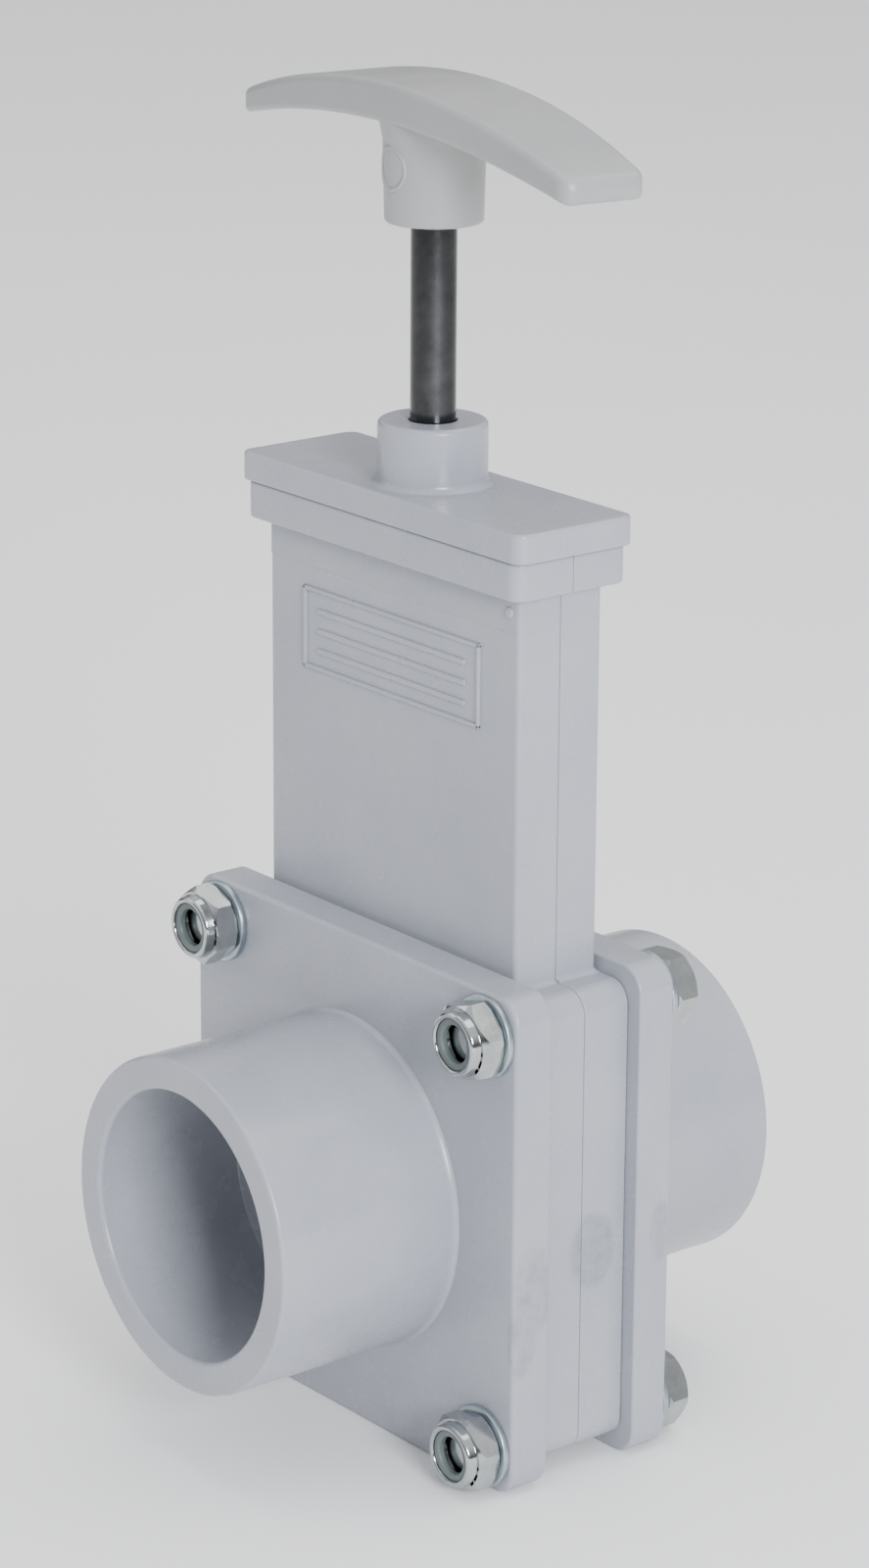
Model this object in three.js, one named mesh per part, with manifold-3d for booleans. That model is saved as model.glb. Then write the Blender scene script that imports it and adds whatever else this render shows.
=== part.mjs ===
// Knife gate valve for a 1-1/2 inch solvent-weld PVC pipe, pushed and pulled by a T-handle.
// Millimetres, +Z up along the stem, flow along Y. The origin is on the ground, under the middle of the valve.
import * as THREE from "three";
import { mergeVertices } from "three/addons/utils/BufferGeometryUtils.js";
import Module from "manifold-3d";

const wasm = await Module();
wasm.setup();

// Driving dimensions
const SEAM = 0.1; // gap left between pieces that are glued or clamped together
const CLEAR = 0.25; // gap around pieces that fit into each other
const RUN = 0.18; // radial running clearance around the stem
const FLOW_Z = 45.6; // height of the flow axis
const BORE_R = 19.5;
const SOCKET_R = 24.2; // takes a pipe of 48.3 mm outside diameter
const HUB_R = 30.16; // 60.3 mm outside, which also fits a 2 inch coupling
const PLATE = { halfW: 45.8, halfH: 45.6, t: 7.8, corner: 5 };
const HUB_LENGTH = 37.3;
const SOCKET_DEPTH = 30;
const BODY = { halfT: 9.8, halfW: 42.7, low: 2.9, high: 88.3, corner: 4.2 };
const NECK = { halfW: 34.75, halfT: 9, high: 157.9 };
const HEAD = { halfW: 37.85, halfT: 12.25, high: 164.5, corner: 2.6 };
const CAP = { halfW: 38.9, halfT: 12.7, low: 164.6, high: 169.7, corner: 2.4 };
const BOSS = { r: 9.55, high: 180.7 };
const POCKET = { halfW: 24.6, halfT: 1.8, hollowHalfT: 5.6, hollowLow: 77 };
const SEAL = { outer: 26.7, inner: 20.2 };
const BLADE = { halfW: 24.2, halfT: 1.5, top: 135.1 };
const LIFT = 33.2; // how far the blade stands above its closed place
const GLAND = { r: 6.4, outer: 7.9, low: 160.6, high: 172.5 };
const STEM = { r: 3.97, low: 145.9, high: 233.5 };
const CARRIER = { halfW: 10, halfT: 4.5, low: 127.1, high: 145.5 };
const HANDLE = {
  turn: (-7.2 * Math.PI) / 180,
  low: 214.8,
  bossR: 8.5,
  topZ: 238.8,
  topR: 168.6,
  underZ: 231.9,
  underR: 241.9,
  halfL: 53.1,
  halfMid: 9.7,
  halfEnd: 7.8,
};
const BOLT = { x: 37.9, z: 37.9, r: 3.85, hole: 4.1, flats: 12.7, headH: 5.2 };
const WASHER = { r: 7.4, t: 1.3 };
const NUT = { hexH: 4.4, collarR: 5.5, high: 6.4, liner: 4.7, linerBore: 3.3 };
const FINE = 48;
const MEDIUM = 28;
const SMALL = 16;

// Materials
const finish = (color, roughness, metalness) =>
  new THREE.MeshStandardMaterial({ color, roughness, metalness });
const PVC = finish(0xd6d7dc, 0.35, 0);
const HANDLE_PLASTIC = finish(0xcfcfcd, 0.4, 0);
const STEEL = finish(0x8d8f92, 0.3, 1);
const ZINC = finish(0xc9cfd2, 0.25, 1);
const RUBBER = finish(0x1d1d1f, 0.8, 0);
const NYLON = finish(0x5f6b6b, 0.5, 0);
const ACETAL = finish(0xe8e6df, 0.5, 0);

// A closed three.js geometry as a solid, turned the right way out.
function solid(geometry) {
  const bare = geometry.index ? geometry.toNonIndexed() : geometry.clone();
  bare.deleteAttribute("normal");
  bare.deleteAttribute("uv");
  const merged = mergeVertices(bare, 1e-4);
  const make = (triVerts) =>
    new wasm.Manifold(
      new wasm.Mesh({ numProp: 3, vertProperties: merged.attributes.position.array, triVerts }),
    );
  const made = make(new Uint32Array(merged.index.array));
  if (made.volume() > 0) return made;
  return make(new Uint32Array(merged.index.array).reverse());
}

function meshOf(name, shape, material) {
  const { vertProperties, triVerts } = shape.getMesh();
  const geometry = new THREE.BufferGeometry();
  geometry.setAttribute("position", new THREE.BufferAttribute(vertProperties, 3));
  geometry.setIndex(new THREE.BufferAttribute(triVerts, 1));
  geometry.computeVertexNormals();
  const mesh = new THREE.Mesh(geometry, material);
  mesh.name = name;
  return mesh;
}

function box(x0, x1, y0, y1, z0, z1) {
  const geometry = new THREE.BoxGeometry(x1 - x0, y1 - y0, z1 - z0);
  return solid(geometry.translate((x0 + x1) / 2, (y0 + y1) / 2, (z0 + z1) / 2));
}

// A cylinder along Y or Z, from one end to the other.
function rod(axis, r, from, to, segments = MEDIUM, endR = r) {
  const geometry = new THREE.CylinderGeometry(endR, r, to - from, segments);
  geometry.translate(0, (from + to) / 2, 0);
  return solid(axis === "z" ? geometry.rotateX(Math.PI / 2) : geometry);
}

// A ring or turned piece about Y or Z. The profile is a closed loop of [radius, height].
function turned(axis, profile, segments = MEDIUM) {
  const loop = [...profile, profile[0]].map(([r, h]) => new THREE.Vector2(r, h));
  const geometry = new THREE.LatheGeometry(loop, segments);
  return solid(axis === "z" ? geometry.rotateX(Math.PI / 2) : geometry);
}

function roundedRect(halfW, low, high, r) {
  const shape = new THREE.Shape();
  shape.moveTo(-halfW + r, low);
  shape.lineTo(halfW - r, low);
  shape.absarc(halfW - r, low + r, r, -Math.PI / 2, 0);
  shape.lineTo(halfW, high - r);
  shape.absarc(halfW - r, high - r, r, 0, Math.PI / 2);
  shape.lineTo(-halfW + r, high);
  shape.absarc(-halfW + r, high - r, r, Math.PI / 2, Math.PI);
  shape.lineTo(-halfW, low + r);
  shape.absarc(-halfW + r, low + r, r, Math.PI, Math.PI * 1.5);
  return shape;
}

// An outline in X and Z, extruded along Y.
function slab(shape, y0, y1, curveSegments = 6) {
  const options = { depth: y1 - y0, bevelEnabled: false, curveSegments };
  return solid(
    new THREE.ExtrudeGeometry(shape, options).rotateX(Math.PI / 2).translate(0, y1, 0),
  );
}

// An outline in X and Y, extruded along Z.
function plank(shape, z0, z1, curveSegments = 5) {
  const options = { depth: z1 - z0, bevelEnabled: false, curveSegments };
  return solid(new THREE.ExtrudeGeometry(shape, options).translate(0, 0, z0));
}

// The blade's outline: straight sides and a half-round foot about the given height.
function footed(halfW, centreZ, top) {
  const shape = new THREE.Shape();
  shape.moveTo(halfW, top);
  shape.lineTo(-halfW, top);
  shape.lineTo(-halfW, centreZ);
  shape.absarc(0, centreZ, halfW, Math.PI, 2 * Math.PI);
  shape.lineTo(halfW, top);
  return shape;
}

const corners = [
  [-1, -1],
  [1, -1],
  [1, 1],
  [-1, 1],
].map(([sx, sz]) => [sx * BOLT.x, FLOW_Z + sz * BOLT.z]);

function boltHoles(y0, y1) {
  const holes = corners.map(([x, z]) =>
    rod("y", BOLT.hole, y0, y1, 12).translate([x, 0, z]),
  );
  return holes.reduce((all, hole) => all.add(hole));
}

// One half of the solvent-welded body: the lower block, the neck and the head that the cap sits on.
function housingHalf() {
  const inner = SEAM / 2;
  const block = slab(roundedRect(BODY.halfW, BODY.low, BODY.high, BODY.corner), inner, BODY.halfT - SEAM);
  const neck = box(-NECK.halfW, NECK.halfW, inner, NECK.halfT, BODY.high - BODY.corner, NECK.high);
  const head = plank(roundedRect(HEAD.halfW, -HEAD.halfT, HEAD.halfT, HEAD.corner), NECK.high - SEAM, HEAD.high)
    .intersect(box(-50, 50, inner, 50, 0, 200));
  const slot = slab(footed(POCKET.halfW, FLOW_Z, 170), -1, POCKET.halfT, 16);
  const hollow = box(-POCKET.halfW, POCKET.halfW, -1, POCKET.hollowHalfT, POCKET.hollowLow, 170);
  const flow = rod("y", SEAL.outer + CLEAR, -1, 20, FINE).translate([0, 0, FLOW_Z]);
  const glandHole = rod("z", GLAND.outer + CLEAR, GLAND.low - 0.5, 170);
  const cavity = slot.add(hollow).add(glandHole);
  return block.add(neck).add(head).subtract(cavity).subtract(flow).subtract(boltHoles(-1, 20));
}

// An end fitting: the bolted plate and the hub with its pipe socket, for the +Y side.
function endFitting() {
  const inside = BODY.halfT;
  const face = inside + PLATE.t;
  const mouth = face + HUB_LENGTH;
  const seat = mouth - SOCKET_DEPTH;
  const fillet = 1.5;
  const chamfer = 0.8;
  const outline = roundedRect(PLATE.halfW, 0, 2 * PLATE.halfH, PLATE.corner);
  const plate = slab(outline, inside, face);
  const hub = turned(
    "y",
    [
      [BORE_R - 1, face - 2],
      [HUB_R + fillet, face - 2],
      [HUB_R + fillet, face],
      [HUB_R + 0.4, face + 0.4],
      [HUB_R, face + fillet],
      [HUB_R, mouth - chamfer / 2],
      [HUB_R - chamfer / 2, mouth],
      [BORE_R - 1, mouth],
    ],
    FINE,
  ).translate([0, 0, FLOW_Z]);
  const passage = turned(
    "y",
    [
      [0, inside - 1],
      [BORE_R, inside - 1],
      [BORE_R, seat],
      [SOCKET_R, seat],
      [SOCKET_R, mouth - chamfer],
      [SOCKET_R + chamfer, mouth],
      [SOCKET_R + chamfer, mouth + 1],
      [0, mouth + 1],
    ],
    FINE,
  ).translate([0, 0, FLOW_Z]);
  return plate.add(hub).subtract(passage).subtract(boltHoles(0, 20));
}

// A rubber seat ring with a lip towards the blade, for the +Y side.
function seatRing() {
  const lip = POCKET.halfT + SEAM;
  const back = BODY.halfT - SEAM;
  return turned(
    "y",
    [
      [SEAL.inner, back],
      [SEAL.inner, lip + 1],
      [SEAL.inner + 1, lip],
      [SEAL.inner + 4, lip],
      [SEAL.inner + 4.6, lip + 1.4],
      [SEAL.outer, lip + 1.4],
      [SEAL.outer, back],
    ],
    40,
  ).translate([0, 0, FLOW_Z]);
}

function knifeBlade() {
  const outline = footed(BLADE.halfW, FLOW_Z + LIFT, BLADE.top);
  const plate = slab(outline, -BLADE.halfT, BLADE.halfT, 16);
  return plate.subtract(pinRods(1.65, -5, 5));
}

const PIN = { x: 5.5, z: 131.1, r: 1.4 };

function pinRods(r, y0, y1) {
  const make = (x) => rod("y", r, y0, y1, 14).translate([x, 0, PIN.z]);
  return make(-PIN.x).add(make(PIN.x));
}

// The block that joins blade and stem. A T-slot, open on one side, holds the stem's button and lets it turn.
const BUTTON = { r: 3, neckR: 1.9, low: 137.9, high: 141.3 };

function bladeCarrier() {
  const { halfW, halfT, low, high } = CARRIER;
  const cheek = BLADE.halfT + 0.2;
  const slotEnd = BUTTON.high + CLEAR;
  const headHalf = BUTTON.r + CLEAR;
  const neckHalf = BUTTON.neckR + CLEAR;
  return box(-halfW, halfW, -halfT, halfT, low, high)
    .subtract(box(-halfW - 1, halfW + 1, -cheek, cheek, low - 1, BLADE.top + 0.3))
    .subtract(box(-headHalf, halfW + 1, -headHalf, headHalf, BUTTON.low - CLEAR, slotEnd))
    .subtract(box(-neckHalf, halfW + 1, -neckHalf, neckHalf, slotEnd - 0.1, high + 1))
    .subtract(pinRods(1.65, -6, 6));
}

function stem() {
  const { r, low, high } = STEM;
  const tip = 0.6;
  return turned("z", [
    [0, BUTTON.low],
    [BUTTON.r, BUTTON.low],
    [BUTTON.r, BUTTON.high],
    [BUTTON.neckR, BUTTON.high],
    [BUTTON.neckR, low],
    [r, low],
    [r, high - tip],
    [r - tip, high],
    [0, high],
  ]);
}

function topCap() {
  const plate = plank(roundedRect(CAP.halfW, -CAP.halfT, CAP.halfT, CAP.corner), CAP.low, CAP.high);
  const boss = turned("z", [
    [0, CAP.high - 1],
    [BOSS.r + 0.8, CAP.high - 1],
    [BOSS.r + 0.8, CAP.high],
    [BOSS.r, CAP.high + 0.8],
    [BOSS.r, BOSS.high - 0.8],
    [BOSS.r - 0.8, BOSS.high],
    [0, BOSS.high],
  ], 32);
  const half = POCKET.halfW - 0.4;
  const spigot = box(-half, half, -5.3, 5.3, GLAND.low, CAP.low + 1)
    .add(rod("z", GLAND.outer, GLAND.low, CAP.low + 1));
  return plate
    .add(boss)
    .add(spigot)
    .subtract(rod("z", STEM.r + RUN, 150, 190))
    .subtract(rod("z", GLAND.r, 150, GLAND.high));
}

function stemBushing() {
  const outer = GLAND.r - 0.1;
  const inner = STEM.r + RUN;
  return turned("z", [
    [inner, 161.1],
    [outer, 161.1],
    [outer, 169.1],
    [inner, 169.1],
  ]);
}

function stemRing() {
  const section = 1.05;
  const middle = STEM.r + RUN + section;
  return solid(new THREE.TorusGeometry(middle, section, 10, MEDIUM)).translate([0, 0, 170.7]);
}

// The T-handle: a side view of two arcs, cut to a plan that narrows towards its ends, on a round boss.
function handle() {
  const { low, bossR, topZ, topR, underZ, underR, halfL, halfMid, halfEnd } = HANDLE;
  const side = new THREE.Shape();
  const topHalf = Math.asin(halfL / topR);
  const underHalf = Math.asin(halfL / underR);
  side.absarc(0, topZ - topR, topR, Math.PI / 2 - topHalf, Math.PI / 2 + topHalf);
  side.absarc(0, underZ - underR, underR, Math.PI / 2 + underHalf, Math.PI / 2 - underHalf, true);
  const plan = new THREE.Shape();
  const r = 3;
  const steps = 8;
  const width = (u) => halfMid + (halfEnd - halfMid) * (u / halfL) ** 2;
  for (let i = 0; i <= steps; i++) {
    const u = -(halfL - r) + (2 * (halfL - r) * i) / steps;
    if (i === 0) plan.moveTo(u, -width(u));
    else plan.lineTo(u, -width(u));
  }
  plan.absarc(halfL - r, -halfEnd + r, r, -Math.PI / 2, 0);
  plan.absarc(halfL - r, halfEnd - r, r, 0, Math.PI / 2);
  for (let i = steps; i >= 0; i--) {
    const u = -(halfL - r) + (2 * (halfL - r) * i) / steps;
    plan.lineTo(u, width(u));
  }
  plan.absarc(-halfL + r, halfEnd - r, r, Math.PI / 2, Math.PI);
  plan.absarc(-halfL + r, -halfEnd + r, r, Math.PI, Math.PI * 1.5);
  const bar = slab(side, -15, 15, 12).intersect(plank(plan, 200, 260, 4));
  const boss = rod("z", bossR, low, underZ + 2, MEDIUM, bossR + 0.4);
  return bar.add(boss).subtract(rod("z", STEM.r + RUN, low - 1, STEM.high + 1));
}

function hexPrism(flats, h) {
  const r = flats / 2 / Math.cos(Math.PI / 6);
  const chamfer = turned("y", [
    [0, 0],
    [flats / 2, 0],
    [r, 0.7],
    [r, h - 0.7],
    [flats / 2, h],
    [0, h],
  ], 18);
  return rod("y", r, 0, h, 6).intersect(chamfer);
}

// A lock nut standing on y = 0, with its collar up along +Y and a hole for the nylon ring.
function lockNut() {
  const collar = rod("y", NUT.collarR, NUT.hexH - 1, NUT.high, 24, NUT.collarR - 0.6);
  return hexPrism(BOLT.flats, NUT.hexH)
    .add(collar)
    .subtract(rod("y", BOLT.r + 0.15, -1, 9, SMALL))
    .subtract(rod("y", NUT.liner, NUT.high - 2.1, 9, SMALL));
}

function nutLiner() {
  const low = NUT.high - 1.9;
  const high = NUT.high - 0.5;
  return turned("y", [
    [NUT.linerBore, low],
    [NUT.liner - 0.15, low],
    [NUT.liner - 0.15, high],
    [NUT.linerBore, high],
  ], SMALL);
}

function washer() {
  return turned("y", [
    [BOLT.hole, 0],
    [WASHER.r, 0],
    [WASHER.r, WASHER.t - SEAM],
    [BOLT.hole, WASHER.t - SEAM],
  ], 20);
}

const face = BODY.halfT + PLATE.t + SEAM; // where a washer stands, on the plate
const hardwareY = face + WASHER.t;

function hexBolt() {
  const length = 2 * hardwareY + NUT.high - 2.4;
  return hexPrism(BOLT.flats, BOLT.headH).add(rod("y", BOLT.r, -length, 1, SMALL));
}

// Assembly
const valve = new THREE.Group();
const add = (...meshes) => valve.add(...meshes);
const front = (shape) => shape.mirror([0, 1, 0]);
const rear = (shape) => shape;

for (const [side, place] of [["front", front], ["rear", rear]]) {
  add(
    meshOf(`${side}_housing`, place(housingHalf()), PVC),
    meshOf(`${side}_fitting`, place(endFitting()), PVC),
    meshOf(`${side}_seat_ring`, place(seatRing()), RUBBER),
  );
}
add(
  meshOf("top_cap", topCap(), PVC),
  meshOf("stem_bushing", stemBushing(), ACETAL),
  meshOf("stem_o_ring", stemRing(), RUBBER),
  meshOf("knife_blade", knifeBlade(), STEEL),
  meshOf("blade_carrier", bladeCarrier(), ACETAL),
);
for (const [label, sx] of [["left", -1], ["right", 1]]) {
  const pin = rod("y", PIN.r, -4.4, 4.4, 14).translate([sx * PIN.x, 0, PIN.z]);
  add(meshOf(`carrier_pin_${label}`, pin, STEEL));
}
add(meshOf("stem", stem(), STEEL));

const grip = meshOf("t_handle", handle(), HANDLE_PLASTIC);
grip.rotation.z = HANDLE.turn;
add(grip);

corners.forEach(([x, z], i) => {
  const nutTurn = [20, 5, 38, 50][i];
  const placed = (shape, y) => shape.translate([x, y, z]);
  const facingFront = (shape) => shape.rotate([0, nutTurn, 0]).mirror([0, 1, 0]);
  const n = i + 1;
  add(
    meshOf(`hex_bolt_${n}`, placed(hexBolt(), hardwareY + SEAM), ZINC),
    meshOf(`rear_washer_${n}`, placed(washer(), face), ZINC),
    meshOf(`front_washer_${n}`, placed(front(washer()), -face), ZINC),
    meshOf(`lock_nut_${n}`, placed(facingFront(lockNut()), -hardwareY), ZINC),
    meshOf(`nut_liner_${n}`, placed(facingFront(nutLiner()), -hardwareY), NYLON),
  );
});

export default valve;
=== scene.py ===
import math

import bmesh
import bpy
from mathutils import Matrix, Vector

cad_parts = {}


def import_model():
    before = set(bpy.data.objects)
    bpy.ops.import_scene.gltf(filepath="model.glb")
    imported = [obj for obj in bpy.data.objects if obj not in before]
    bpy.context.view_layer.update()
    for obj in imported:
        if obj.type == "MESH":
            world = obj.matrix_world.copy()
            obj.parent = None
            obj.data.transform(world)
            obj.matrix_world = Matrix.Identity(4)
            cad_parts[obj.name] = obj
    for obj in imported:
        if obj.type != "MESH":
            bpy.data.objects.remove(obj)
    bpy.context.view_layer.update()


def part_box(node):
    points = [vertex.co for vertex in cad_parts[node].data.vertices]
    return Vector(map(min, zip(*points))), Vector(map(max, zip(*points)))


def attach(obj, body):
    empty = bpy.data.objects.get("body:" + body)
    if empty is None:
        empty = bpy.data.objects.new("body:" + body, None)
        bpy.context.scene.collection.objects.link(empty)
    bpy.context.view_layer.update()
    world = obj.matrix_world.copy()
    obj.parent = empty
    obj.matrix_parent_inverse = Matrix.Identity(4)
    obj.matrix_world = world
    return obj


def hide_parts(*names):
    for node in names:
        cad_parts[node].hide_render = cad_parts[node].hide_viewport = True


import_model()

MM = 0.001
FRONT = Matrix.Diagonal((1, -1, 1, 1))
REAR = Matrix.Identity(4)


def size_of(node):
    """Lowest and highest corner of a CAD node, in millimetres."""
    low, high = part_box(node)
    return low / MM, high / MM


# ---------------------------------------------------------------- places, in millimetres
fitting_low, fitting_high = size_of("rear_fitting")
block_low, block_high = size_of("rear_housing")
cap_low, cap_high = size_of("top_cap")
blade_low, blade_high = size_of("knife_blade")
carrier_low, carrier_high = size_of("blade_carrier")
stem_high = size_of("stem")[1]
seat_low, seat_high = size_of("rear_seat_ring")
ring_low, ring_high = size_of("stem_o_ring")
handle_low = size_of("t_handle")[0]

PLATE_W = fitting_high.x
PLATE_H = fitting_high.z
FLOW_Z = PLATE_H / 2
PLATE_IN = fitting_low.y
PLATE_OUT = PLATE_IN + 7.8
PLATE_HOLE_R = 22
MOUTH = fitting_high.y
HUB_R = 30.16
SOCKET_R = 24.2
SOCKET_DEPTH = 30
BORE_R = 19.5
BLOCK_W = block_high.x
BLOCK_FACE = 9.7
SEAT_HOLE_R = 26.95
SEAM_Y = block_low.y
BLOCK_TOP = 88.3
NECK_W = 34.75
NECK_T = 9.0
HEAD_LOW = 157.9
HEAD_HIGH = block_high.z
HEAD_T = block_high.y
HANDLE_TURN = math.radians(-7.2)
PIN_X = 5.5
PIN_Z = 131.1
PIN_HOLE_R = 1.65
BOLT_R = 3.85
BOLT_HOLE_R = 4.1
HEX_FLATS = 12.7
HEAD_HEIGHT = 5.2
WASHER_R = 7.4
POCKET_W = 24.6
POCKET_TOP = 170
GLAND_R = 6.4
GLAND_HIGH = 172.5
STEM_HOLE_R = 4.15
PLATE_CORNER = 5
BLOCK_CORNER = 4.2
NECK_SWEEP = 1.2
BOSS_R = 9.55
THREAD_LENGTH = 14
THREAD_PITCH = 0.7


# ---------------------------------------------------------------- geometry helpers
def to_object(name, bm, place=None, smooth=math.radians(42)):
    """A mesh object from a bmesh in millimetres, with its normals out and its edges shaded by angle."""
    if place is not None:
        bmesh.ops.transform(bm, matrix=place, verts=bm.verts)
    bmesh.ops.scale(bm, vec=(MM, MM, MM), verts=bm.verts)
    bmesh.ops.remove_doubles(bm, verts=bm.verts, dist=1e-7)
    bmesh.ops.recalc_face_normals(bm, faces=bm.faces)
    mesh = bpy.data.meshes.new(name)
    bm.to_mesh(mesh)
    bm.free()
    mesh.polygons.foreach_set("use_smooth", [True] * len(mesh.polygons))
    mesh.set_sharp_from_angle(angle=smooth)
    obj = bpy.data.objects.new(name, mesh)
    bpy.context.scene.collection.objects.link(obj)
    return obj


def arc(cx, cy, r, start, end, steps):
    """Points on an arc, angles in degrees."""
    angles = [math.radians(start + (end - start) * i / steps) for i in range(steps + 1)]
    return [(cx + r * math.cos(a), cy + r * math.sin(a)) for a in angles]


def rect_loop(x0, x1, y0, y1, radii, inset=0.0, steps=8):
    """A rectangle with a radius at each corner, from the lowest corner round."""
    x0, x1, y0, y1 = x0 + inset, x1 - inset, y0 + inset, y1 - inset
    spots = [(x0, y0, 180), (x1, y0, 270), (x1, y1, 0), (x0, y1, 90)]
    loop = []
    for (x, y, start), radius in zip(spots, radii):
        r = max(radius - inset, 0.02)
        cx = x + r if x == x0 else x - r
        cy = y + r if y == y0 else y - r
        loop += arc(cx, cy, r, start, start + 90, steps)
    return loop


def circle_loop(cx, cy, r, steps):
    return arc(cx, cy, r, 0, 360 * (steps - 1) / steps, steps - 1)


def edge_levels(low, high, edge_low, edge_high, steps=4):
    """(inset, height) pairs that round both edges of a plate."""
    levels = []
    for k in range(steps + 1):
        a = math.pi / 2 * k / steps
        levels.append((edge_low * (1 - math.sin(a)), low + edge_low * (1 - math.cos(a))))
    for k in range(steps + 1):
        a = math.pi / 2 * k / steps
        levels.append((edge_high * (1 - math.cos(a)), high - edge_high * (1 - math.sin(a))))
    return levels


def add_rings(bm, rings):
    """Joins rings of equal length with quads and returns their vertices."""
    made = [[bm.verts.new(p) for p in ring] for ring in rings]
    for a, b in zip(made, made[1:]):
        for i in range(len(a)):
            j = (i + 1) % len(a)
            bm.faces.new((a[i], a[j], b[j], b[i]))
    return made


def plate(outline, holes, low, high, edge_low=0.4, edge_high=0.4, hole_edge=0.2):
    """A plate with rounded edges. outline(inset) gives its loop, holes are (x, y, r, steps)."""
    bm = bmesh.new()
    outer = add_rings(bm, [[(x, y, z) for x, y in outline(d)]
                           for d, z in edge_levels(low, high, edge_low, edge_high)])
    ends = [[outer[0]], [outer[-1]]]
    for x, y, r, steps in holes:
        levels = edge_levels(low, high, hole_edge, hole_edge, 2)
        rings = add_rings(bm, [[(px, py, z) for px, py in circle_loop(x, y, r + d, steps)]
                               for d, z in levels])
        ends[0].append(rings[0])
        ends[1].append(rings[-1])
    for loops in ends:
        edges = [bm.edges.get((loop[i], loop[(i + 1) % len(loop)]))
                 for loop in loops for i in range(len(loop))]
        bmesh.ops.triangle_fill(bm, use_beauty=True, use_dissolve=False, edges=edges)
    return bm


def lathe(profile, steps=96):
    """A closed profile of (radius, height) turned about Z. A radius of 0 is a pole."""
    bm = bmesh.new()
    columns = []
    for r, z in profile:
        if r < 1e-6:
            columns.append([bm.verts.new((0, 0, z))])
        else:
            columns.append([bm.verts.new((x, y, z)) for x, y in circle_loop(0, 0, r, steps)])
    for a, b in zip(columns, columns[1:] + columns[:1]):
        for i in range(steps):
            j = (i + 1) % steps
            corner = [a[i % len(a)], a[j % len(a)], b[j % len(b)], b[i % len(b)]]
            unique = list(dict.fromkeys(corner))
            if len(unique) > 2:
                bm.faces.new(unique)
    return bm


def rounded(points, radii, steps=5):
    """A profile whose corners are rounded by the given radii, 0 for a plain corner."""
    out = []
    count = len(points)
    for i, (point, r) in enumerate(zip(points, radii)):
        p = Vector(point)
        if r <= 0:
            out.append(tuple(p))
            continue
        a = (Vector(points[i - 1]) - p).normalized()
        b = (Vector(points[(i + 1) % count]) - p).normalized()
        half = a.angle(b) / 2
        reach = r / math.tan(half)
        centre = p + (a + b).normalized() * (r / math.sin(half))
        start, end = p + a * reach - centre, p + b * reach - centre
        turn = start.angle_signed(end)
        for k in range(steps + 1):
            v = start.copy()
            v.rotate(Matrix.Rotation(-turn * k / steps, 2))
            out.append(tuple(centre + v))
    return out


ALONG_Y = Matrix.Rotation(-math.pi / 2, 4, "X")  # Z becomes +Y, and Y becomes -Z
SLAB = Matrix.Rotation(math.pi / 2, 4, "X")  # Y becomes Z, and Z becomes -Y


def slab(outline, holes, y0, y1, edge_in=0.3, edge_out=0.8, hole_edge=0.3):
    """A plate whose outline is in X and Z, from y0 out to y1."""
    bm = plate(outline, holes, -y1, -y0, edge_out, edge_in, hole_edge)
    bmesh.ops.transform(bm, matrix=SLAB, verts=bm.verts)
    return bm


def turned_y(profile, z, x=0.0, y=0.0, steps=96):
    """A profile of (radius, y) turned about a line along Y."""
    bm = lathe(profile, steps)
    bmesh.ops.transform(bm, matrix=Matrix.Translation((x, y, z)) @ ALONG_Y, verts=bm.verts)
    return bm


def bar(x0, x1, y0, y1, z0, z1, edge=0.2):
    """A block with rounded edges; its outline is in X and Y."""
    return plate(lambda d: rect_loop(x0, x1, y0, y1, [edge] * 4, d, 4), [], z0, z1, edge, edge)


def joined(*parts):
    """Several closed shells as one bmesh."""
    bm = bmesh.new()
    for part in parts:
        mesh = bpy.data.meshes.new("part")
        bmesh.ops.recalc_face_normals(part, faces=part.faces)
        part.to_mesh(mesh)
        part.free()
        bm.from_mesh(mesh)
        bpy.data.meshes.remove(mesh)
    return bm


def cut(bm, *others, how="DIFFERENCE"):
    """A boolean of one closed shell with others, in millimetres."""
    def temporary(piece):
        bmesh.ops.recalc_face_normals(piece, faces=piece.faces)
        mesh = bpy.data.meshes.new("cut")
        piece.to_mesh(mesh)
        piece.free()
        obj = bpy.data.objects.new("cut", mesh)
        bpy.context.scene.collection.objects.link(obj)
        return obj

    base = temporary(bm)
    tools = [temporary(other) for other in others]
    for tool in tools:
        step = base.modifiers.new("cut", "BOOLEAN")
        step.operation = how
        step.solver = "EXACT"
        step.object = tool
    graph = bpy.context.evaluated_depsgraph_get()
    made = bpy.data.meshes.new_from_object(base.evaluated_get(graph))
    out = bmesh.new()
    out.from_mesh(made)
    bpy.data.meshes.remove(made)
    for obj in [base] + tools:
        mesh = obj.data
        bpy.data.objects.remove(obj)
        bpy.data.meshes.remove(mesh)
    return out


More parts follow.
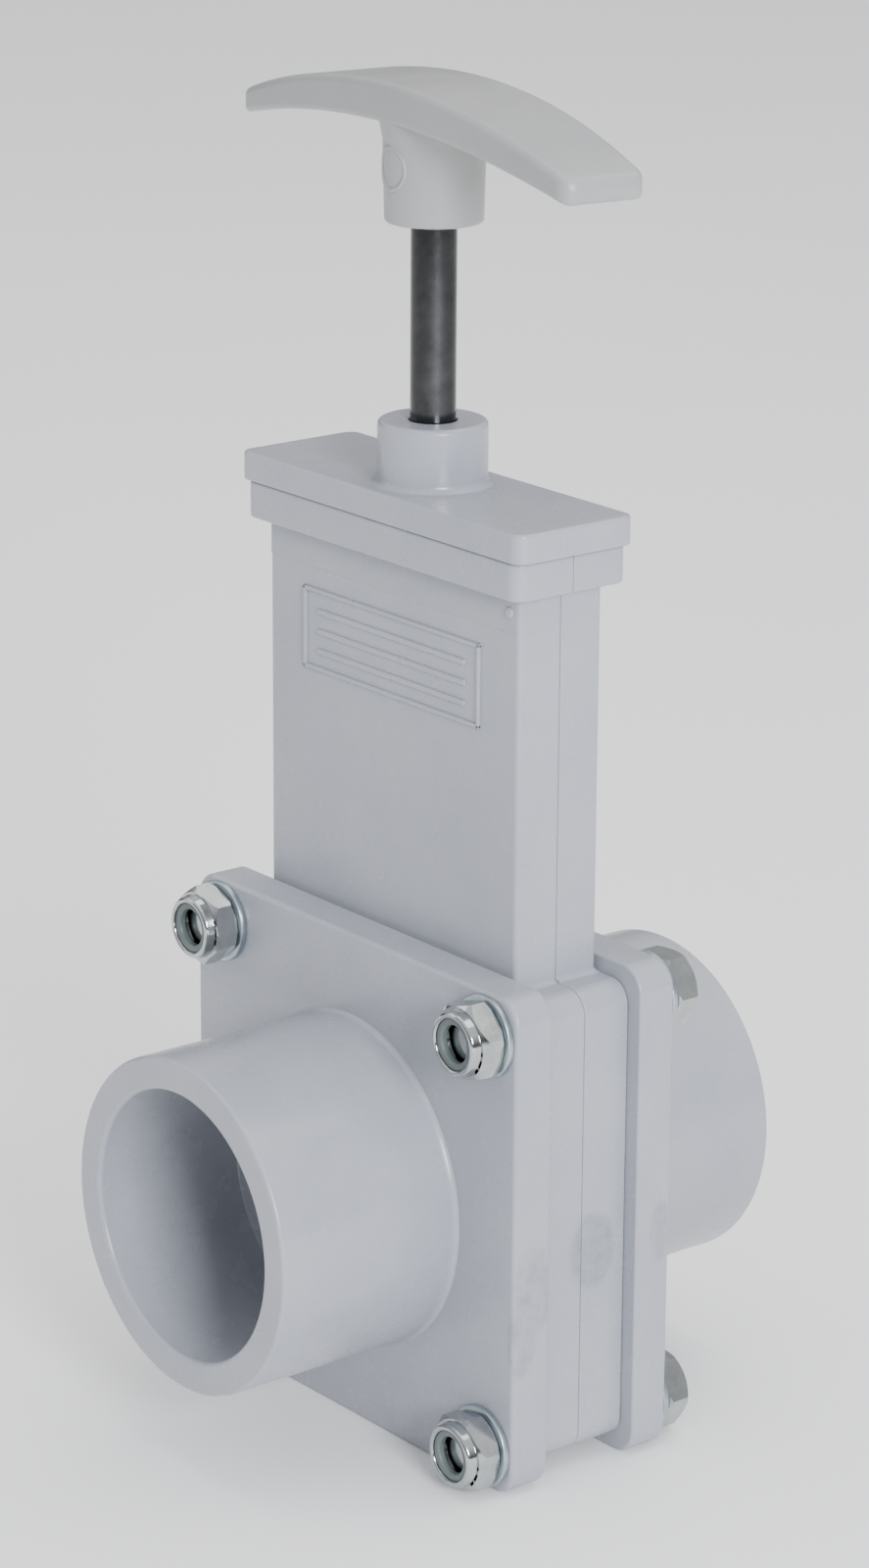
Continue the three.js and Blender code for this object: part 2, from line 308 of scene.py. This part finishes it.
# ---------------------------------------------------------------- materials
class Nodes:
    """Short ways to build a node material on object coordinates, in metres."""

    def __init__(self, name):
        self.material = bpy.data.materials.new(name)
        self.material.use_nodes = True
        self.tree = self.material.node_tree
        self.shader = self.tree.nodes["Principled BSDF"]
        self.place = self.tree.nodes.new("ShaderNodeTexCoord").outputs["Object"]

    def link(self, a, b):
        self.tree.links.new(a, b)

    def noise(self, scale, detail=4.0, rough=0.55, stretch=None):
        node = self.tree.nodes.new("ShaderNodeTexNoise")
        node.inputs["Scale"].default_value = scale
        node.inputs["Detail"].default_value = detail
        node.inputs["Roughness"].default_value = rough
        source = self.place
        if stretch:
            mapping = self.tree.nodes.new("ShaderNodeMapping")
            mapping.inputs["Scale"].default_value = stretch
            self.link(self.place, mapping.inputs["Vector"])
            source = mapping.outputs["Vector"]
        self.link(source, node.inputs["Vector"])
        return node.outputs["Fac"]

    def spread(self, value, low, high, from_low=0.3, from_high=0.7):
        node = self.tree.nodes.new("ShaderNodeMapRange")
        node.inputs["From Min"].default_value = from_low
        node.inputs["From Max"].default_value = from_high
        node.inputs["To Min"].default_value = low
        node.inputs["To Max"].default_value = high
        self.link(value, node.inputs["Value"])
        return node.outputs["Result"]

    def ramp(self, value, colours, low=0.3, high=0.7):
        node = self.tree.nodes.new("ShaderNodeValToRGB")
        elements = node.color_ramp.elements
        while len(elements) < len(colours):
            elements.new(0.5)
        for i, colour in enumerate(colours):
            elements[i].position = low + (high - low) * i / (len(colours) - 1)
            elements[i].color = (*colour, 1)
        self.link(value, node.inputs["Fac"])
        return node.outputs["Color"]

    def mix(self, fac, a, b):
        node = self.tree.nodes.new("ShaderNodeMix")
        node.data_type = "RGBA"
        self.link(fac, node.inputs[0])
        for value, socket in ((a, node.inputs[6]), (b, node.inputs[7])):
            if isinstance(value, tuple):
                socket.default_value = (*value, 1)
            else:
                self.link(value, socket)
        return node.outputs[2]

    def math(self, how, a, b):
        node = self.tree.nodes.new("ShaderNodeMath")
        node.operation = how
        for value, socket in ((a, node.inputs[0]), (b, node.inputs[1])):
            if isinstance(value, (int, float)):
                socket.default_value = value
            else:
                self.link(value, socket)
        return node.outputs[0]

    def spot(self, centre, radius):
        """1 inside an ellipsoid and 0 outside, in millimetres, with a soft edge."""
        node = self.tree.nodes.new("ShaderNodeMapping")
        node.vector_type = "TEXTURE"
        node.inputs["Location"].default_value = [c * MM for c in centre]
        node.inputs["Scale"].default_value = [r * MM for r in radius]
        self.link(self.place, node.inputs["Vector"])
        length = self.tree.nodes.new("ShaderNodeVectorMath")
        length.operation = "LENGTH"
        self.link(node.outputs["Vector"], length.inputs[0])
        return self.spread(length.outputs["Value"], 1.0, 0.0, 0.8, 1.05)

    def bump(self, *layers):
        """Layers of (height, strength, distance in millimetres)."""
        last = None
        for height, strength, distance in layers:
            node = self.tree.nodes.new("ShaderNodeBump")
            node.inputs["Strength"].default_value = strength
            node.inputs["Distance"].default_value = distance * MM
            self.link(height, node.inputs["Height"])
            if last:
                self.link(last, node.inputs["Normal"])
            last = node.outputs["Normal"]
        self.link(last, self.shader.inputs["Normal"])

    def set(self, **values):
        for name, value in values.items():
            self.shader.inputs[name.replace("_", " ")].default_value = value


def plastic(name, dark, light, rough, scuffs=(), marks=()):
    """Moulded plastic with a faint mottle, fine grain and, where asked, scuffed patches."""
    n = Nodes(name)
    colour = n.ramp(n.noise(38, 5, 0.6), [dark, light])
    roughness = n.spread(n.noise(90, 6, 0.65), rough[0], rough[1])
    grain = n.noise(1500, 3, 0.6)
    worn = None
    for centre, radius in scuffs:
        patch = n.spot(centre, radius)
        worn = patch if worn is None else n.math("MAXIMUM", worn, patch)
    if worn is not None:
        broken = n.spread(n.noise(420, 8, 0.8), 0.0, 1.0, 0.36, 0.6)
        worn = n.math("MULTIPLY", worn, broken)
        colour = n.mix(n.math("MULTIPLY", worn, 0.45), colour, tuple(c * 0.55 for c in dark))
        roughness = n.math("ADD", roughness, n.math("MULTIPLY", worn, 0.3))
        grain = n.math("ADD", grain, n.math("MULTIPLY", worn, n.noise(900, 6, 0.8)))
    for centre, radius, strength in marks:
        mark = n.math("MULTIPLY", n.spot(centre, radius), strength)
        colour = n.mix(mark, colour, tuple(c * 0.5 for c in dark))
    n.link(colour, n.shader.inputs["Base Color"])
    n.link(roughness, n.shader.inputs["Roughness"])
    n.bump((n.noise(26, 2, 0.5), 0.25, 0.25), (grain, 0.22, 0.02))
    n.set(Subsurface_Weight=0.06, Subsurface_Scale=0.002, Specular_IOR_Level=0.5)
    n.set(Subsurface_Radius=(1.0, 0.95, 0.9))
    return n.material


def metal(name, dark, light, rough, lines=(1, 1, 1), grain=0.1):
    """Metal with cloudy roughness and fine bumps; lines stretches the bumps per axis."""
    n = Nodes(name)
    n.link(n.ramp(n.noise(240, 6, 0.7), [dark, light]), n.shader.inputs["Base Color"])
    n.link(n.spread(n.noise(310, 5, 0.7), rough[0], rough[1]), n.shader.inputs["Roughness"])
    n.bump((n.noise(600, 5, 0.7, lines), grain, 0.02), (n.noise(160, 2), grain, 0.05))
    n.set(Metallic=1.0)
    return n.material


def rubber(name):
    n = Nodes(name)
    colour = n.ramp(n.noise(120, 5), [(0.012, 0.012, 0.013), (0.03, 0.03, 0.031)])
    n.link(colour, n.shader.inputs["Base Color"])
    n.link(n.spread(n.noise(300, 4), 0.55, 0.8), n.shader.inputs["Roughness"])
    n.bump((n.noise(1200, 4), 0.3, 0.03))
    return n.material


# Scuffs are (centre, radii) and marks are (centre, radii, strength), in millimetres.
SCUFFS = [
    ((PLATE_W, -PLATE_IN - 3.5, 38), (1.5, 4.5, 9)),
    ((PLATE_W, -PLATE_IN - 6, 29), (2, 3.4, 7)),
    ((PLATE_W, PLATE_IN + 5.5, 42), (1.5, 2.5, 6)),
    ((BLOCK_W, 2.5, 40.5), (1.2, 5.4, 7.6)),
]
MARKS = [((BLOCK_W, 2.5, 40.5), (1.2, 5.2, 7.4), 0.10)]
PVC = plastic("white_pvc", (0.31, 0.322, 0.368), (0.355, 0.367, 0.41), (0.20, 0.32), SCUFFS, MARKS)
GRIP = plastic("handle_plastic", (0.30, 0.302, 0.312), (0.35, 0.35, 0.35), (0.28, 0.42))
NYLON = plastic("nylon_grey", (0.075, 0.095, 0.095), (0.12, 0.145, 0.145), (0.35, 0.55))
ACETAL = plastic("acetal", (0.70, 0.69, 0.65), (0.78, 0.77, 0.73), (0.35, 0.5))
# The stainless steel's base colour is painted nearly black: a painted dark reflection of a dark room, on the
# blade, pins and stem.
PAINTED_DARK_STEEL = metal("stainless", (0.04, 0.041, 0.043), (0.066, 0.067, 0.069), (0.16, 0.26), (1, 1, 14), 0.14)
# The zinc plate's base colour is painted darker than zinc: a painted dark reflection on the nuts and bolts.
ZINC = metal("zinc_plate_painted_dark_reflection", (0.36, 0.38, 0.385), (0.50, 0.52, 0.52), (0.08, 0.18), grain=0.12)
WASHER_ZINC = metal("washer_zinc", (0.34, 0.40, 0.44), (0.46, 0.52, 0.56), (0.3, 0.45))
RUBBER = rubber("black_rubber")


def show(name, bm, node, body, material, place=None, weighted=False, smooth=42):
    """Turns a bmesh into the piece that stands for a CAD node."""
    obj = to_object(name, bm, place, math.radians(smooth))
    obj.data.materials.append(material)
    if weighted:
        step = obj.modifiers.new("normals", "WEIGHTED_NORMAL")
        step.keep_sharp = True
        step.weight = 100
    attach(obj, body)
    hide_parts(node)
    return obj


# ---------------------------------------------------------------- pieces
def bolt_spots():
    """Centre of each bolt as (x, z), in millimetres."""
    spots = []
    for i in range(1, 5):
        low, high = size_of(f"rear_washer_{i}")
        spots.append(((low.x + high.x) / 2, (low.z + high.z) / 2))
    return spots


SPOTS = bolt_spots()


def end_fitting():
    """Square plate and hub with its pipe socket, on the +Y side."""
    def outline(d):
        return rect_loop(-PLATE_W, PLATE_W, 0, PLATE_H, [PLATE_CORNER] * 4, d, 10)

    holes = [(x, z, BOLT_HOLE_R, 40) for x, z in SPOTS] + [(0, FLOW_Z, PLATE_HOLE_R, 128)]
    base = slab(outline, holes, PLATE_IN, PLATE_OUT, 0.5, 0.9)
    seat = MOUTH - SOCKET_DEPTH
    points = [(BORE_R, PLATE_IN + 0.05), (24, PLATE_IN + 0.05), (24, PLATE_OUT - 1.2),
              (HUB_R + 2.2, PLATE_OUT - 0.35), (HUB_R, PLATE_OUT - 0.35), (HUB_R, MOUTH),
              (SOCKET_R, MOUTH), (SOCKET_R, seat), (BORE_R, seat)]
    radii = [0.4, 0, 0, 0, 1.6, 0.7, 0.9, 0.3, 0.4]
    hub = turned_y(rounded(points, radii, 6), FLOW_Z, steps=160)
    return joined(base, hub)


def cavity():
    """What is hollow inside the housing: the blade's slot, the space above and the hole for the gland."""
    slot = slab(lambda d: footed_loop(POCKET_W, FLOW_Z, POCKET_TOP, d), [], -2, 1.8, 0.01, 0.01)
    space = bar(-POCKET_W, POCKET_W, -2, 5.6, 77, POCKET_TOP, 0.3)
    gland = lathe([(0, 160.1), (8.15, 160.1), (8.15, POCKET_TOP), (0, POCKET_TOP)], 64)
    return [slot, space, gland]


def footed_loop(half, centre, top, inset):
    """An outline with a half-round foot."""
    foot = arc(0, centre, half - inset, 180, 360, 64)
    return foot + [(half - inset, top - inset), (-half + inset, top - inset)]


def housing(front):
    """Block between the end plates, neck and head; the front half has the neck's raised frame."""
    holes = [(x, z, BOLT_HOLE_R, 32) for x, z in SPOTS] + [(0, FLOW_Z, SEAT_HOLE_R, 96)]
    block_corners = [BLOCK_CORNER] * 4
    block = slab(lambda d: rect_loop(-BLOCK_W, BLOCK_W, block_low.z, BLOCK_TOP, block_corners, d, 10),
                 holes, SEAM_Y, BLOCK_FACE, 0.22, 0.3)
    neck = plate(lambda d: rect_loop(-NECK_W, NECK_W, SEAM_Y, NECK_T, [0.2, 0.2, 0.9, 0.9], d, 6),
                 [], BLOCK_TOP - 6, HEAD_LOW + 1, 0.1, 0.1)
    head_w = BLOCK_W - 4.85
    head_corners = [0.12, 0.12, 2.6, 2.6]
    head = plate(lambda d: rect_loop(-head_w, head_w, SEAM_Y, HEAD_T, head_corners, d, 10),
                 [], HEAD_LOW, HEAD_HIGH, 0.5, 0.6)
    solids = [cut(part, *cavity()) for part in (block, neck, head)]
    extras = [cut(neck_fillet(), *cavity())]
    if front:
        extras += neck_frame()
    return joined(*solids, *extras)


def neck_fillet():
    """The small sweep of plastic where the neck stands on the block."""
    bm = bmesh.new()
    rings = []
    steps = 6
    corners = [0.2, 0.2, 1.0, 1.0]
    for k in range(steps + 1):
        a = math.pi / 2 * k / steps
        out = NECK_SWEEP * (1 - math.sin(a))
        up = NECK_SWEEP * (1 - math.cos(a))
        outline = rect_loop(-NECK_W - out, NECK_W + out, 0.3, NECK_T + out - 0.02, corners, 0, 6)
        rings.append([(x, min(y, 9.69), BLOCK_TOP - 0.02 + up) for x, y in outline])
    inside = rect_loop(-NECK_W + 2, NECK_W - 2, 1, NECK_T - 2, [0.2] * 4, 0, 6)
    inner = [(x, y, BLOCK_TOP + NECK_SWEEP) for x, y in inside]
    base = [(x, y, BLOCK_TOP - 1) for x, y in inside]
    made = add_rings(bm, [base] + rings + [inner])
    for i in range(len(inner)):
        j = (i + 1) % len(inner)
        bm.faces.new((made[-1][i], made[-1][j], made[0][j], made[0][i]))
    return bm


def neck_frame():
    """A plain raised frame with ribs in it, a low collar under the head and a round nub."""
    z0, z1, w, t = 132.8, 147.7, 24.6, 0.75
    face, lift = NECK_T - 0.3, 0.5
    out = face + 0.3 + lift
    pieces = [
        bar(-w, w, face, out, z0, z0 + t, 0.22),
        bar(-w, w, face, out, z1 - t, z1, 0.22),
        bar(-w, -w + t, face, out, z0, z1, 0.22),
        bar(w - t, w, face, out, z0, z1, 0.22),
    ]
    for k in range(3):
        z = z0 + 3.6 + 3.6 * k
        pieces.append(bar(-20.6, 20.6, face, out - 0.06, z - 0.5, z + 0.5, 0.24))
    collar = plate(
        lambda d: rect_loop(-NECK_W - 0.12, NECK_W + 0.12, 0.4, NECK_T + 0.12, [0.2, 0.2, 0.95, 0.95], d, 6),
        [], 151.3, HEAD_LOW + 0.5, 0.12, 0.1)
    pieces.append(cut(collar, *cavity()))
    nub = turned_y(rounded([(0, NECK_T - 0.3), (1.0, NECK_T - 0.3), (1.0, NECK_T + 0.55), (0, NECK_T + 0.55)],
                           [0, 0, 0.4, 0], 4), 154.9, 32.3, 0, 32)
    pieces.append(nub)
    return pieces


def seat_ring():
    """Rubber ring in the housing with its lip towards the blade."""
    back, lip = seat_high.y, seat_low.y
    points = [(20.2, back), (20.2, lip + 1.0), (21.2, lip), (24.2, lip), (24.8, lip + 1.4),
              (26.7, lip + 1.4), (26.7, back)]
    return turned_y(rounded(points, [0.2, 0.4, 0.3, 0.3, 0.3, 0.3, 0.2], 3), FLOW_Z, steps=96)


def cap():
    """Top plate with its boss, and the spigots that stand in the housing."""
    half_x, half_y = cap_high.x, cap_high.y
    top = cap_low.z + 9.1
    base = plate(lambda d: rect_loop(-half_x, half_x, -half_y, half_y, [2.4] * 4, d, 10),
                 [(0, 0, 4.2, 64)], cap_low.z + 4.0, top, 0.35, 0.55)
    points = [(STEM_HOLE_R, top - 1.5), (9, top - 1.5), (12.2, top - 0.08), (BOSS_R, top - 0.08),
              (BOSS_R, cap_high.z), (STEM_HOLE_R, cap_high.z)]
    boss = lathe(rounded(points, [0, 0, 0, 1.5, 0.9, 0.35], 6), 128)
    spigot = bar(-24.2, 24.2, -5.3, 5.3, cap_low.z, cap_low.z + 4.4, 0.3)
    gland = [(0, 150), (GLAND_R, 150), (GLAND_R, GLAND_HIGH), (0, GLAND_HIGH)]
    neck = lathe([(4.4, cap_low.z), (7.9, cap_low.z), (7.9, cap_low.z + 5), (4.4, cap_low.z + 5)], 64)
    return joined(base, boss, cut(spigot, lathe(gland, 64)), cut(neck, lathe(gland, 64)))


def blade():
    """The flat knife with a half-round foot and two pin holes."""
    half, thick = blade_high.x, blade_high.y
    centre = blade_low.z + half
    holes = [(sx * PIN_X, PIN_Z, PIN_HOLE_R, 24) for sx in (-1, 1)]
    return slab(lambda d: footed_loop(half, centre, blade_high.z, d), holes, -thick, thick, 0.5, 0.5, 0.1)


def carrier():
    """Block between blade and stem: a slot for the blade, a T-slot for the stem's end."""
    x, y = carrier_high.x, carrier_high.y
    low, high = carrier_low.z, carrier_high.z
    block = bar(-x, x, -y, y, low, high, 0.5)
    slot = bar(-x - 1, x + 1, -1.7, 1.7, low - 1, 135.4, 0.02)
    head = bar(-3.25, x + 1, -3.25, 3.25, 137.65, 141.55, 0.02)
    throat = bar(-2.15, x + 1, -2.15, 2.15, 141.4, high + 1, 0.02)
    drill = [(0, -6), (PIN_HOLE_R, -6), (PIN_HOLE_R, 6), (0, 6)]
    pins = [turned_y(drill, PIN_Z, sx * PIN_X, 0, 24) for sx in (-1, 1)]
    return cut(block, slot, head, throat, *pins)


def pin(x, half, r):
    profile = [(0, -half), (r, -half), (r, half), (0, half)]
    return turned_y(rounded(profile, [0, 0.25, 0.25, 0], 3), PIN_Z, x, 0, 32)


def stem():
    r = stem_high.x
    points = [(0, 137.9), (3, 137.9), (3, 141.3), (1.9, 141.3), (1.9, 145.9), (r, 145.9), (r, stem_high.z),
              (0, stem_high.z)]
    return lathe(rounded(points, [0, 0.3, 0.3, 0.3, 0.3, 0.5, 0.6, 0], 4), 96)


def t_handle():
    """The bar is swept along its length; each section is a rounded rectangle between two arcs."""
    top_z, top_r, under_z, under_r = 238.8, 168.6, 231.9, 241.9
    half_l, mid, end = 53.1, 9.7, 7.8
    edge, corner, count = 1.4, 2.8, 72
    bm = bmesh.new()
    rings = []
    for i in range(count + 1):
        s = math.sin(math.pi * (i / count - 0.5))
        along = 0.35 * (2 * i / count - 1) + 0.65 * s
        u = half_l * along if 0 < i < count else half_l * math.copysign(1, s)
        width = mid + (end - mid) * (u / half_l) ** 2
        gap = half_l - abs(u)
        if gap < corner:
            width += -corner + math.sqrt(max(corner**2 - (corner - gap) ** 2, 0))
        high = math.sqrt(top_r**2 - u * u) + top_z - top_r
        low = math.sqrt(under_r**2 - u * u) + under_z - under_r
        if gap < edge:
            bite = edge - math.sqrt(max(edge**2 - (edge - gap) ** 2, 0))
            high -= bite
            low += bite
        r = min(edge, (high - low) / 2 - 0.05)
        loop = rect_loop(-width, width, low, high, [r * 0.8, r * 0.8, r, r], 0, 6)
        rings.append([(u, y, z) for y, z in loop])
    made = add_rings(bm, rings)
    bm.faces.new(made[0])
    bm.faces.new(list(reversed(made[-1])))
    low = handle_low.z
    points = [(STEM_HOLE_R, low), (8.45, low), (8.8, 228.8), (9.6, 232.9), (STEM_HOLE_R, 232.9)]
    boss = lathe(rounded(points, [0.3, 0.6, 4.0, 0, 0], 7), 128)
    mark = ring_on_boss(8.62, low + 9.6, 3.6, 0.42)
    bm = joined(bm, boss, mark)
    bmesh.ops.transform(bm, matrix=Matrix.Rotation(HANDLE_TURN, 4, "Z"), verts=bm.verts)
    return bm


def ring_on_boss(radius, z, size, thick):
    """A low ring that follows the boss's round wall, on the -Y side."""
    bm = bmesh.new()
    rings = []
    for x, dz in circle_loop(0, 0, size, 48):
        turn = math.atan2(dz, x)
        ring = []
        for a, b in circle_loop(0, 0, thick, 10):
            across = (size + a) * math.cos(turn) / radius
            out = radius + b * 0.8
            ring.append((out * math.sin(across), -out * math.cos(across), z + (size + a) * math.sin(turn)))
        rings.append(ring)
    made = add_rings(bm, rings)
    for i in range(10):
        j = (i + 1) % 10
        bm.faces.new((made[-1][i], made[-1][j], made[0][j], made[0][i]))
    return bm


def hexagon(flats, low, high, chamfer):
    """A hexagon along Y with its corners turned off at both faces."""
    r = flats / 2 / math.cos(math.pi / 6)
    steps = 6
    prism = plate(lambda d: circle_loop(0, 0, r - d, steps), [], low, high, 0.05, 0.05)
    cone = lathe([(0, low), (flats / 2 - 0.1, low), (r, low + chamfer), (r, high - chamfer),
                  (flats / 2 - 0.1, high), (0, high)], 96)
    return cut(prism, cone, how="INTERSECT")


def along_y(bm):
    bmesh.ops.transform(bm, matrix=ALONG_Y, verts=bm.verts)
    return bm


def lock_nut():
    """Stands on y = 0 with its rolled collar up along +Y."""
    body = cut(hexagon(HEX_FLATS, 0, 4.6, 0.9), lathe([(0, -1), (4.0, -1), (4.0, 9), (0, 9)], 48))
    collar = lathe(rounded([(4.05, 3.4), (6.1, 3.4), (5.55, 6.4), (4.55, 6.4), (4.55, 4.35), (4.05, 4.35)],
                           [0, 0.2, 0.7, 0.4, 0, 0], 6), 96)
    return along_y(joined(body, collar))


def nut_liner():
    profile = [(3.3, 4.5), (4.54, 4.5), (4.54, 5.95), (3.3, 5.95)]
    return along_y(lathe(rounded(profile, [0.3, 0, 0.15, 0.5], 5), 72))


def washer(thick):
    points = [(BOLT_HOLE_R, 0), (WASHER_R, 0), (WASHER_R, thick), (BOLT_HOLE_R, thick)]
    return along_y(lathe(rounded(points, [0.15, 0.3, 0.3, 0.15], 3), 96))


def hex_bolt(length):
    """Head on y = 0 and up, shank down along -Y with a pointed end and thread where the nut goes."""
    head = hexagon(HEX_FLATS, 0, HEAD_HEIGHT, 0.9)
    outline = [(0, 1), (BOLT_R, 1)]
    z = -length + THREAD_LENGTH
    outline.append((BOLT_R, z))
    while z > -length + 2 * THREAD_PITCH:
        outline += [(3.45, z - THREAD_PITCH / 2), (3.83, z - THREAD_PITCH)]
        z -= THREAD_PITCH
    outline += [(2.9, -length), (0, -length)]
    shank = lathe(outline, 48)
    return along_y(joined(head, shank))


fitting = end_fitting()
show("v_rear_fitting", fitting.copy(), "rear_fitting", "valve_body", PVC, REAR, True)
show("v_front_fitting", fitting, "front_fitting", "valve_body", PVC, FRONT, True)
show("v_rear_housing", housing(False), "rear_housing", "valve_body", PVC, REAR, True)
show("v_front_housing", housing(True), "front_housing", "valve_body", PVC, FRONT, True)
show("v_rear_seat_ring", seat_ring(), "rear_seat_ring", "valve_body", RUBBER, REAR)
show("v_front_seat_ring", seat_ring(), "front_seat_ring", "valve_body", RUBBER, FRONT)
show("v_top_cap", cap(), "top_cap", "valve_body", PVC, None, True)

bush_outline = [(STEM_HOLE_R, 160), (6.3, 160), (6.3, 168), (STEM_HOLE_R, 168)]
bush = lathe(rounded(bush_outline, [0.3] * 4, 3), 64)
show("v_stem_bushing", bush, "stem_bushing", "valve_body", ACETAL)
ring_mid = (ring_low.z + ring_high.z) / 2
o_ring = lathe([(5.2 + a, ring_mid + b) for a, b in circle_loop(0, 0, 1.04, 20)], 72)
show("v_stem_o_ring", o_ring, "stem_o_ring", "valve_body", RUBBER)

show("v_knife_blade", blade(), "knife_blade", "gate", PAINTED_DARK_STEEL, None, True)
show("v_blade_carrier", carrier(), "blade_carrier", "gate", ACETAL, None, True, 30)
for side, x in (("left", -PIN_X), ("right", PIN_X)):
    show(f"v_carrier_pin_{side}", pin(x, 4.4, 1.4), f"carrier_pin_{side}", "gate", PAINTED_DARK_STEEL)
show("v_stem", stem(), "stem", "pull_stem", PAINTED_DARK_STEEL)
show("v_t_handle", t_handle(), "t_handle", "pull_stem", GRIP, None, True, 50)

NUT_TURNS = [25, 12, 15, 40]
for i, (x, z) in enumerate(SPOTS):
    n = i + 1
    washer_low, washer_high = size_of(f"rear_washer_{n}")
    nut_high = size_of(f"lock_nut_{n}")[1]
    bolt_low, bolt_high = size_of(f"hex_bolt_{n}")
    thick = washer_high.y - washer_low.y
    rear_place = Matrix.Translation((x, washer_low.y, z))
    front_place = Matrix.Translation((x, -washer_low.y, z)) @ FRONT
    show(f"v_rear_washer_{n}", washer(thick), f"rear_washer_{n}", "valve_body", WASHER_ZINC,
         rear_place)
    show(f"v_front_washer_{n}", washer(thick), f"front_washer_{n}", "valve_body", WASHER_ZINC,
         front_place)
    turned = Matrix.Rotation(math.radians(-NUT_TURNS[i]), 4, "Y")
    nut_place = Matrix.Translation((x, nut_high.y, z)) @ turned @ FRONT
    show(f"v_lock_nut_{n}", lock_nut(), f"lock_nut_{n}", "valve_body", ZINC, nut_place,
         True, 30)
    show(f"v_nut_liner_{n}", nut_liner(), f"nut_liner_{n}", "valve_body", NYLON, nut_place)
    under_head = bolt_high.y - HEAD_HEIGHT
    bolt_place = Matrix.Translation((x, under_head, z))
    show(f"v_hex_bolt_{n}", hex_bolt(under_head - bolt_low.y), f"hex_bolt_{n}", "valve_body",
         ZINC, bolt_place, True, 30)


# ---------------------------------------------------------------- stage, light and camera
def stage_floor():
    """A pale square that the valve stands on."""
    mesh = bpy.data.meshes.new("floor")
    s = 6.0
    mesh.from_pydata([(-s, -s, 0), (s, -s, 0), (s, s, 0), (-s, s, 0)], [], [(0, 1, 2, 3)])
    obj = bpy.data.objects.new("floor", mesh)
    bpy.context.scene.collection.objects.link(obj)
    n = Nodes("pale_floor")
    n.link(n.ramp(n.noise(3, 2), [(0.95, 0.95, 0.95), (0.97, 0.97, 0.97)]), n.shader.inputs["Base Color"])
    n.link(n.spread(n.noise(5, 2), 0.7, 0.85), n.shader.inputs["Roughness"])
    mesh.materials.append(n.material)


def area_light(name, place, target, size, power, colour):
    """A rectangular light at a place in metres, turned to its target."""
    light = bpy.data.lights.new(name, "AREA")
    light.shape = "RECTANGLE"
    light.size, light.size_y = size
    light.energy = power
    light.color = colour
    obj = bpy.data.objects.new(name, light)
    bpy.context.scene.collection.objects.link(obj)
    obj.location = place
    obj.rotation_euler = (Vector(target) - Vector(place)).to_track_quat("-Z", "Y").to_euler()


def world(low, high, strength):
    """A soft room: dim near the horizon and bright overhead."""
    scene_world = bpy.data.worlds.new("studio")
    scene_world.use_nodes = True
    tree = scene_world.node_tree
    split = tree.nodes.new("ShaderNodeSeparateXYZ")
    tree.links.new(tree.nodes.new("ShaderNodeTexCoord").outputs["Generated"], split.inputs[0])
    ramp = tree.nodes.new("ShaderNodeValToRGB")
    ramp.color_ramp.elements[0].position = 0.08
    ramp.color_ramp.elements[0].color = (*low, 1)
    ramp.color_ramp.elements[1].position = 0.6
    ramp.color_ramp.elements[1].color = (*high, 1)
    tree.links.new(split.outputs["Z"], ramp.inputs["Fac"])
    background = tree.nodes["Background"]
    tree.links.new(ramp.outputs["Color"], background.inputs["Color"])
    background.inputs["Strength"].default_value = strength
    bpy.context.scene.world = scene_world


CAMERA_ANGLES = (50.33, 17.62, 0.7)
CAMERA_PLACE = (0.61979, -0.49253, 0.36293)
CAMERA_LENS = 108.74475
CAMERA_SHIFT = (-0.0577, 0.0136)


def photo_camera():
    """The photo's view, with angles in degrees, the place in metres and the lens in millimetres."""
    azimuth, elevation, roll = (math.radians(a) for a in CAMERA_ANGLES)
    away = Vector((math.sin(azimuth) * math.cos(elevation), -math.cos(azimuth) * math.cos(elevation),
                   math.sin(elevation)))
    right = (-away).cross(Vector((0, 0, 1))).normalized()
    up = right.cross(-away)
    side = math.cos(roll) * right + math.sin(roll) * up
    top = -math.sin(roll) * right + math.cos(roll) * up
    turn = Matrix((side, top, away)).transposed()
    camera = bpy.data.cameras.new("photo_camera")
    camera.sensor_width = 36
    camera.lens = CAMERA_LENS
    camera.shift_x, camera.shift_y = CAMERA_SHIFT
    camera.clip_start, camera.clip_end = 0.01, 30
    obj = bpy.data.objects.new("photo_camera", camera)
    obj.matrix_world = Matrix.Translation(CAMERA_PLACE) @ turn.to_4x4()
    bpy.context.scene.collection.objects.link(obj)
    bpy.context.scene.camera = obj


stage_floor()
world((0.10, 0.105, 0.115), (0.98, 0.99, 1.0), 1.1)
area_light("key", (1.35, -0.45, 0.6), (0, 0, 0.1), (0.45, 0.45), 27, (0.94, 0.965, 1.0))
area_light("left_fill", (-1.2, -0.9, 0.7), (0, 0, 0.1), (0.7, 1.0), 3.2, (0.93, 0.96, 1.0))
area_light("top", (0.0, 0.3, 1.5), (0, 0, 0.1), (1.4, 1.4), 12, (1.0, 0.985, 0.94))
photo_camera()
